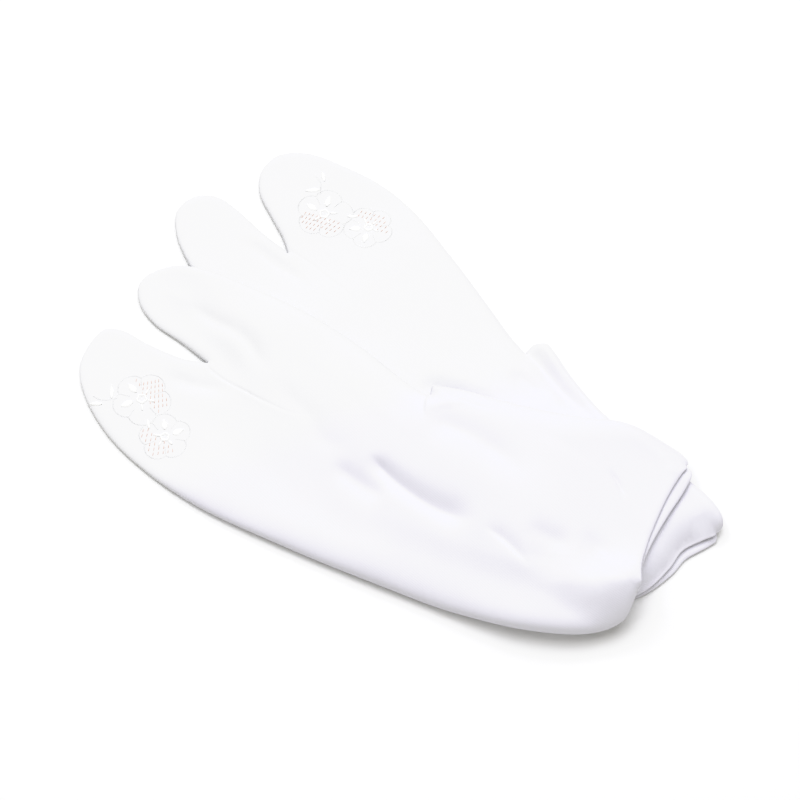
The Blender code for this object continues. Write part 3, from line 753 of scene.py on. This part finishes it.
def addMath(nodes, links, operation, first, factor, third=None):
    result = nodes.new("ShaderNodeMath")
    result.operation = operation
    result.inputs[1].default_value = factor
    links.new(first, result.inputs[0])
    if third is not None:
        links.new(third, result.inputs[2])
    return result.outputs["Value"]


def addMix(nodes, links, colors, factor, shader):
    mix = nodes.new("ShaderNodeMix")
    mix.data_type = "RGBA"
    mix.inputs["A"].default_value, mix.inputs["B"].default_value = colors
    links.new(factor, mix.inputs["Factor"])
    links.new(mix.outputs["Result"], shader.inputs["Base Color"])


def addBump(nodes, links, strength, depth, height, shader):
    bump = nodes.new("ShaderNodeBump")
    bump.inputs["Strength"].default_value = strength
    bump.inputs["Distance"].default_value = depth
    links.new(height, bump.inputs["Height"])
    links.new(bump.outputs["Normal"], shader.inputs["Normal"])


def stretchCloth(finish):
    material, nodes, links, shader = newMaterial("whiteStretchCloth")
    place = nodes.new("ShaderNodeTexCoord")
    patches = addNoise(nodes, links, place, finish["patchScale"], finish["patchDetail"])
    frontward = nodes.new("ShaderNodeVectorMath")
    frontward.operation = "DOT_PRODUCT"
    frontward.inputs[1].default_value = finish["tintWay"]
    links.new(place.outputs["Object"], frontward.inputs[0])
    uneven = addMath(nodes, links, "MULTIPLY_ADD", patches.outputs["Fac"], finish["tintPatch"],
                     frontward.outputs["Value"])
    spread = nodes.new("ShaderNodeMapRange")
    spread.interpolation_type = "SMOOTHSTEP"
    middle = 0.5 * finish["tintPatch"]  # the patches' mean
    spread.inputs["From Min"].default_value = finish["tintFrom"] + middle
    spread.inputs["From Max"].default_value = finish["tintTo"] + middle
    links.new(uneven, spread.inputs["Value"])
    addMix(nodes, links, (finish["neutral"], finish["lilac"]), spread.outputs["Result"], shader)
    shader.inputs["Roughness"].default_value = finish["roughness"]
    shader.inputs["Sheen Weight"].default_value = finish["sheen"]
    shader.inputs["Sheen Roughness"].default_value = finish["sheenRoughness"]
    shader.inputs["Specular IOR Level"].default_value = finish["specular"]
    wales = nodes.new("ShaderNodeTexWave")
    wales.wave_type = "BANDS"
    wales.bands_direction = "DIAGONAL"
    wales.inputs["Scale"].default_value = 1.0 / finish["walePitch"] / finish["waleBands"]
    wales.inputs["Distortion"].default_value = finish["waleWander"]
    links.new(place.outputs["Object"], wales.inputs["Vector"])
    nap = addNoise(nodes, links, place, 1.0 / finish["napSize"], finish["napDetail"])
    relief = addMath(nodes, links, "MULTIPLY_ADD", wales.outputs["Fac"], finish["waleShare"],
                     nap.outputs["Fac"])
    addBump(nodes, links, finish["bumpStrength"], finish["bump"], relief, shader)
    return material


# Embroidery threads, and what both share
# A thread's colour moves towards its light colour with random strands and with the painted highlight mark.
# The mark is 1 on satin and seed stitches and 0 on the outline's stitches, which stay darker as painted
# shade.
satinThread = dict(name="whiteSatinThread", color=(0.80, 0.80, 0.80, 1.0), light=(0.95, 0.95, 0.95, 1.0),
                   roughness=0.36, specular=0.6, sheen=0.1, strand=0.0004)
seedThread = dict(name="salmonThread", color=(0.66, 0.53, 0.48, 1.0), light=(0.80, 0.68, 0.63, 1.0),
                  roughness=0.6, specular=0.4, sheen=0.1, strand=0.0004)
# paintedHighlightShare: how far the painted highlight mark moves a thread towards its light colour
threadFinish = dict(detail=2.0, paintedHighlightShare=0.5, strandShare=0.5, bump=0.00004, bumpStrength=0.5)


def threadMaterial(finish):
    shared = threadFinish
    material, nodes, links, shader = newMaterial(finish["name"])
    place = nodes.new("ShaderNodeTexCoord")
    strands = addNoise(nodes, links, place, 1.0 / finish["strand"], shared["detail"])
    # painted highlight mark from the mesh: 1 on satin and seed stitches, 0 on the outline's stitches, which
    # stay darker as painted shade
    paintedHighlight = nodes.new("ShaderNodeAttribute")
    paintedHighlight.attribute_name = "paintedHighlight"
    partly = addMath(nodes, links, "MULTIPLY", strands.outputs["Fac"], shared["strandShare"])
    share = addMath(nodes, links, "MULTIPLY_ADD", paintedHighlight.outputs["Fac"], shared["paintedHighlightShare"], partly)
    addMix(nodes, links, (finish["color"], finish["light"]), share, shader)
    shader.inputs["Roughness"].default_value = finish["roughness"]
    shader.inputs["Specular IOR Level"].default_value = finish["specular"]
    shader.inputs["Sheen Weight"].default_value = finish["sheen"]
    addBump(nodes, links, shared["bumpStrength"], shared["bump"], strands.outputs["Fac"], shader)
    return material


# Embroidery on the four toes: two blossoms and a twig, in millimetres from the first blossom's middle.
# "seeds" is the side with seed stitches, in degrees, and "satin" the petals that are filled.
blossoms = (
    dict(place=(0.0, 0.0), radius=11.6, turn=12.0, seeds=58.0, satin=(2, 3)),
    dict(place=(16.0, -11.0), radius=10.2, turn=48.0, seeds=-104.0, satin=(0, 1)),
)
# Sizes are shares of a blossom's radius, but for widths and steps
petals = dict(
    count=5,
    steps=180,
    notch=0.78,
    swell=0.22,
    shape=0.7,
    vein=(0.45, 0.6, 0.7, 0.78),
    veinWidth=0.9,
    filled=dict(place=0.54, length=0.46, width=3.2),
    small=dict(place=0.34, length=0.26, width=1.1),
    heart=dict(size=0.16, width=1.2, step=0.3, slant=84.0),
)
stem = ((-9.0, -4.0), (-12.4, -6.4), (-15.0, -7.2), (-17.6, -7.0))
leaves = (
    dict(place=(-12.2, -2.2), turn=118.0, length=6.4, width=2.2),
    dict(place=(-15.4, -9.6), turn=200.0, length=5.2, width=2.0),
    dict(place=(7.6, -8.8), turn=-52.0, length=4.4, width=1.7),
)
outlineStitch = dict(width=1.1, step=0.62, slant=52.0)
satinStitch = dict(step=0.34, runs=(0.06, 0.95), shape=0.8, least=0.1, lean=0.25)
# Short stitches in columns that spread by "lean" degrees each, inside a curved border
seedStitch = dict(length=1.85, gap=0.4, apart=1.85, columns=9, rows=9, lean=1.4, edge=0.5,
                  start=0.1, bow=0.012)


def blossomLine(flower):
    angles = np.linspace(0.0, 2.0 * math.pi, petals["steps"] + 1)
    bump = np.abs(np.cos(petals["count"] / 2.0 * (angles - math.radians(flower["turn"])))) ** petals["shape"]
    r = flower["radius"] * (petals["notch"] + petals["swell"] * bump)
    return np.array(flower["place"]) + np.c_[r * np.cos(angles), r * np.sin(angles)]


def wayAt(degrees):
    turn = math.radians(degrees)
    return np.array((math.cos(turn), math.sin(turn)))


def crossStitches(line, width, step, slant):
    # short stitches laid side by side across a line
    row = evenly(line, step)
    way = np.gradient(row, axis=0)
    way /= np.hypot(*way.T)[:, None]
    turn = math.radians(slant)
    across = np.c_[way[:, 0] * math.cos(turn) - way[:, 1] * math.sin(turn),
                   way[:, 0] * math.sin(turn) + way[:, 1] * math.cos(turn)]
    return [(p - d * width / 2.0, p + d * width / 2.0) for p, d in zip(row, across)]


def satinShape(middle, turn, length, width):
    # a leaf or petal filled from side to side
    way = wayAt(turn)
    side = np.array((-way[1], way[0]))
    lean = way * satinStitch["lean"]
    strokes = []
    for run in np.arange(*satinStitch["runs"], satinStitch["step"] / length):
        half = 0.5 * width * math.sin(math.pi * run ** satinStitch["shape"]) + satinStitch["least"]
        p = np.array(middle) + way * (run - 0.5) * length
        strokes.append((p - side * half - lean, p + side * half + lean))
    return strokes


def outlineStrokes():
    step, slant = outlineStitch["step"], outlineStitch["slant"]
    strokes = []
    for flower in blossoms:
        middle = np.array(flower["place"])
        strokes += crossStitches(blossomLine(flower), outlineStitch["width"], step, slant)
        for i in range(petals["count"]):
            way = wayAt(flower["turn"] + (i + 0.5) * 360.0 / petals["count"])
            vein = np.array([middle + way * flower["radius"] * share for share in petals["vein"]])
            strokes += crossStitches(vein, petals["veinWidth"], step, slant)
    strokes += crossStitches(smoothLine(stem), outlineStitch["width"], step, slant)
    return strokes


def satinStrokes():
    heart = petals["heart"]
    strokes = []
    for flower in blossoms:
        middle = np.array(flower["place"])
        line = middle + heart["size"] * (blossomLine(flower) - middle)
        strokes += crossStitches(line, heart["width"], heart["step"], heart["slant"])
        for i in range(petals["count"]):
            turn = flower["turn"] + i * 360.0 / petals["count"]
            petal = petals["filled" if i in flower["satin"] else "small"]
            place = middle + wayAt(turn) * flower["radius"] * petal["place"]
            strokes += satinShape(place, turn, flower["radius"] * petal["length"], petal["width"])
    for leaf in leaves:
        strokes += satinShape(leaf["place"], leaf["turn"], leaf["length"], leaf["width"])
    return strokes


def seedStrokes(turned):
    # on one side of each blossom
    sizes = seedStitch
    strokes = []
    for flower in blossoms:
        edge = blossomLine(flower)
        middle = np.array(flower["place"])
        way = wayAt(flower["seeds"])
        side = np.array((-way[1], way[0]))
        for i in range(-sizes["columns"], sizes["columns"] + 1):
            dash = wayAt(90.0 + turned + sizes["lean"] * i) * sizes["length"] / 2.0
            for j in range(-sizes["rows"], sizes["rows"] + 1):
                step = (j + 0.5 * (i % 2)) * (sizes["length"] + sizes["gap"])
                place = middle + np.array((i * sizes["apart"], 0.0)) + dash * step * 2.0 / sizes["length"]
                ends = np.array([place - dash, place + dash])
                rel = place - middle
                border = sizes["start"] * flower["radius"] + sizes["bow"] * (rel @ side) ** 2
                inBlossom = isInside(edge[:-1], ends).all() and distanceTo(edge, ends).min() > sizes["edge"]
                if inBlossom and rel @ way > border:
                    strokes.append(tuple(ends))
    return strokes


# A stitch: rings at these shares of its length, with sizes and rises by the thread's radius
threadForm = dict(sides=6, shares=(0.0, 0.22, 0.5, 0.78, 1.0), sizes=(0.6, 1.0, 1.05, 1.0, 0.6),
                  rises=(-0.9, 0.55, 0.9, 0.55, -0.9))
threadRadius = dict(outline=0.13, satin=0.26, seeds=0.17)


def threadRings(line, heights, radius):
    way = line[-1] - line[0]
    way /= math.hypot(*way)
    turns = [2.0 * math.pi * k / threadForm["sides"] for k in range(threadForm["sides"])]
    points = []
    for (x, y), z, size, rise in zip(line, heights, threadForm["sizes"], threadForm["rises"]):
        for turn in turns:
            off = size * radius * math.cos(turn)
            up = rise * radius + size * radius * math.sin(turn)
            points.append((x - way[1] * off, y + way[0] * off, z + up))
    return points


def makeThreads(name, form, strokes, start, radius, shift, shadedOutlineCount=0):
    # one closed thread for each stitch, lying on the cloth; the first ones are the outline's
    sides = threadForm["sides"]
    rings = len(threadForm["shares"])
    rows = np.array([[a + (b - a) * share for share in threadForm["shares"]] for a, b in strokes])
    flat = onFloor(form.sock, rows.reshape(-1, 2) + np.array(start))
    ground = form.surface(flat, True, False).reshape(-1, rings)
    points = []
    faces = []
    for i, (line, heights) in enumerate(zip(flat.reshape(-1, rings, 2), ground)):
        first = len(points)
        points += threadRings(line, heights, threadRadius["outline"] if i < shadedOutlineCount else radius)
        for ring in range(rings - 1):
            for k in range(sides):
                a = first + ring * sides + k
                b = first + ring * sides + (k + 1) % sides
                faces.append((a, a + sides, b + sides, b))
        faces.append(tuple(first + k for k in range(sides)))
        faces.append(tuple(first + (rings - 1) * sides + k for k in reversed(range(sides))))
    item = meshPiece(name, points, faces, shift)
    # the outline's stitches keep the thread's darker colour as painted shade, and the satin's take the
    # lighter one as a painted highlight
    paintedHighlight = item.data.attributes.new("paintedHighlight", "FLOAT", "POINT")
    paintedHighlight.data.foreach_set("value", [0.0 if i < shadedOutlineCount * rings * sides else 1.0 for i in range(len(points))])
    return item


# Where the first blossom's middle lies on each sock, and how far its seed stitches turn
blossomPlaces = ((leftForm, (30.6, -25.4), 22.0), (rightForm, (39.6, -21.6), -18.0))

satinMaterial = threadMaterial(satinThread)
seedMaterial = threadMaterial(seedThread)
outline = outlineStrokes()
satin = outline + satinStrokes()
for form, start, turned in blossomPlaces:
    side = form.sock["name"].replace("Cloth", "")
    sewn = (
        (side + "Satin", satin, len(outline), threadRadius["satin"], satinMaterial, "white_satin_thread"),
        (side + "Seeds", seedStrokes(turned), 0, threadRadius["seeds"], seedMaterial, "salmon_thread"),
    )
    for name, strokes, shadedOutlineCount, radius, material, slot in sewn:
        item = makeThreads(name, form, strokes, start, radius, shift, shadedOutlineCount)
        item.data.materials.append(material)
        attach(item, "root")
    print("embroidery sewn on", side)

clothMaterial = stretchCloth(clothFinish)
for item, node, below in ((rightCloth, "sock_right", []), (leftCloth, "sock_left", ["rightSockCloth"])):
    item.data.materials.append(clothMaterial)
    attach(item, "root")
    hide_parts(node)
print("cloth finished and laid")

# A white floor under one large soft light and a pale sky
floorSetup = dict(size=6.0, below=0.0002, roughness=0.8, color=(0.858, 0.858, 0.858, 1.0))
lightSetup = dict(
    world=dict(color=(1.0, 0.985, 0.90, 1.0), strength=0.58),
    top=dict(place=(-0.15, 1.0, 3.2), aim=(0.0, 0.0, 0.0), size=3.3, power=119.0, color=(0.975, 0.985, 1.05)),
)
# How the picture answers to light: steeper in the greys, a soft shoulder near white
toneCurve = dict(
    white=1.12,
    points=((0.0, 0.0), (0.3, 0.25), (0.5, 0.43), (0.7, 0.63), (0.85, 0.82), (0.93, 0.902), (0.98, 0.932),
            (1.02, 0.948), (1.045, 0.953), (1.075, 0.966), (1.12, 1.0)),
)


def addFloor(setup):
    half = setup["size"] / 2
    corners = [(-half, -half, 0), (half, -half, 0), (half, half, 0), (-half, half, 0)]
    data = bpy.data.meshes.new("paleFloor")
    data.from_pydata(corners, [], [(0, 1, 2, 3)])
    item = bpy.data.objects.new("paleFloor", data)
    bpy.context.scene.collection.objects.link(item)
    item.location.z = -setup["below"]
    material, _, _, shader = newMaterial("paleFloorPaint")
    shader.inputs["Base Color"].default_value = setup["color"]
    shader.inputs["Roughness"].default_value = setup["roughness"]
    data.materials.append(material)


def addLight(name, setup):
    data = bpy.data.lights.new(name, "AREA")
    data.size = setup["size"]
    data.energy = setup["power"]
    data.color = setup["color"]
    item = bpy.data.objects.new(name, data)
    bpy.context.scene.collection.objects.link(item)
    item.location = setup["place"]
    item.rotation_euler = (Vector(setup["aim"]) - Vector(setup["place"])).to_track_quat("-Z", "Y").to_euler()


def addWorld(setup):
    world = bpy.data.worlds.new("studio")
    bpy.context.scene.world = world
    world.use_nodes = True
    background = world.node_tree.nodes["Background"]
    background.inputs["Color"].default_value = setup["color"]
    background.inputs["Strength"].default_value = setup["strength"]


def setTone(setup):
    view = bpy.context.scene.view_settings
    view.view_transform = "Standard"
    view.use_curve_mapping = True
    mapping = view.curve_mapping
    mapping.white_level = (setup["white"],) * 3
    curve = mapping.curves[3]  # the one for all colours
    places = [(x / setup["white"], y) for x, y in setup["points"]]
    curve.points[0].location = places[0]
    curve.points[1].location = places[-1]
    for place in places[1:-1]:
        curve.points.new(*place)
    mapping.update()


addFloor(floorSetup)
addLight("softTop", lightSetup["top"])
addWorld(lightSetup["world"])
setTone(toneCurve)
print("floor and light set")
